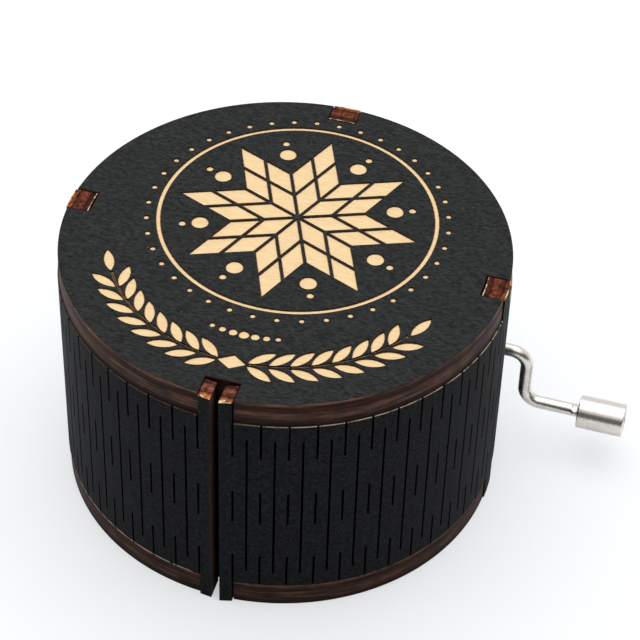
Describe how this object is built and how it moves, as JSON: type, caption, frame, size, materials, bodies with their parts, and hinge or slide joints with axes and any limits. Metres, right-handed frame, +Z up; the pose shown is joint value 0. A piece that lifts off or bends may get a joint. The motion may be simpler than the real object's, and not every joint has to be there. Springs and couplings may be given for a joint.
{
  "type": "hand crank music box",
  "caption": "Round laser-cut plywood music box with a bent living-hinge side and a wire hand crank that turns a worm, a wheel and a pinned cylinder under a steel comb.",
  "frame": {"origin": "centre of the flat underside of the bottom disc, which the box stands on", "axes": "+Z up out of the top, +X towards the crank, -Y towards the front where the ends of the bent side meet"},
  "size_m": [0.0973, 0.0771, 0.048],
  "materials": {
    "black_plywood": "black stained three-ply sheet with burnt brown cut edges",
    "cast_zinc": "as cast, matt",
    "comb_steel": "ground steel",
    "lead": "dull grey",
    "screw_steel": "zinc plated",
    "shaft_steel": "drawn steel",
    "brass": "turned brass",
    "white_plastic": "moulded, satin",
    "bright_nickel": "bright nickel plate"
  },
  "bodies": {
    "case": {"top_disc": "black_plywood", "bottom_disc": "black_plywood", "side_wrap": "black_plywood", "movement_frame": "cast_zinc", "comb": "comb_steel", "comb_weights": "lead", "comb_screws": "screw_steel", "front_bearing": "cast_zinc", "gear_bracket": "cast_zinc", "bearing_screws": "screw_steel", "mounting_screws": "screw_steel"},
    "crank": {"crank_wire": "bright_nickel", "worm_shaft": "shaft_steel", "worm": "white_plastic", "shaft_clip": "shaft_steel"},
    "knob": {"crank_knob": "bright_nickel"},
    "barrel": {"cylinder": "brass", "cylinder_caps": "white_plastic", "cylinder_arbor": "shaft_steel", "thrust_washer": "brass", "worm_wheel": "white_plastic"}
  },
  "joints": [
    {"name": "crank_turn", "type": "hinge", "parent": "case", "child": "crank", "pos_m": [0.03, 0.0152, 0.02], "axis": [1, 0, 0], "continuous": true},
    {"name": "knob_spin", "type": "hinge", "parent": "crank", "child": "knob", "pos_m": [0.055, 0.0152, 0.0088], "axis": [1, 0, 0], "continuous": true},
    {"name": "cylinder_turn", "type": "hinge", "parent": "case", "child": "barrel", "pos_m": [0.008, 0, 0.01182], "axis": [0, 1, 0], "continuous": true}
  ],
  "couplings": [
    {"joint": "cylinder_turn", "follows": "crank_turn", "ratio": -0.055556}
  ]
}
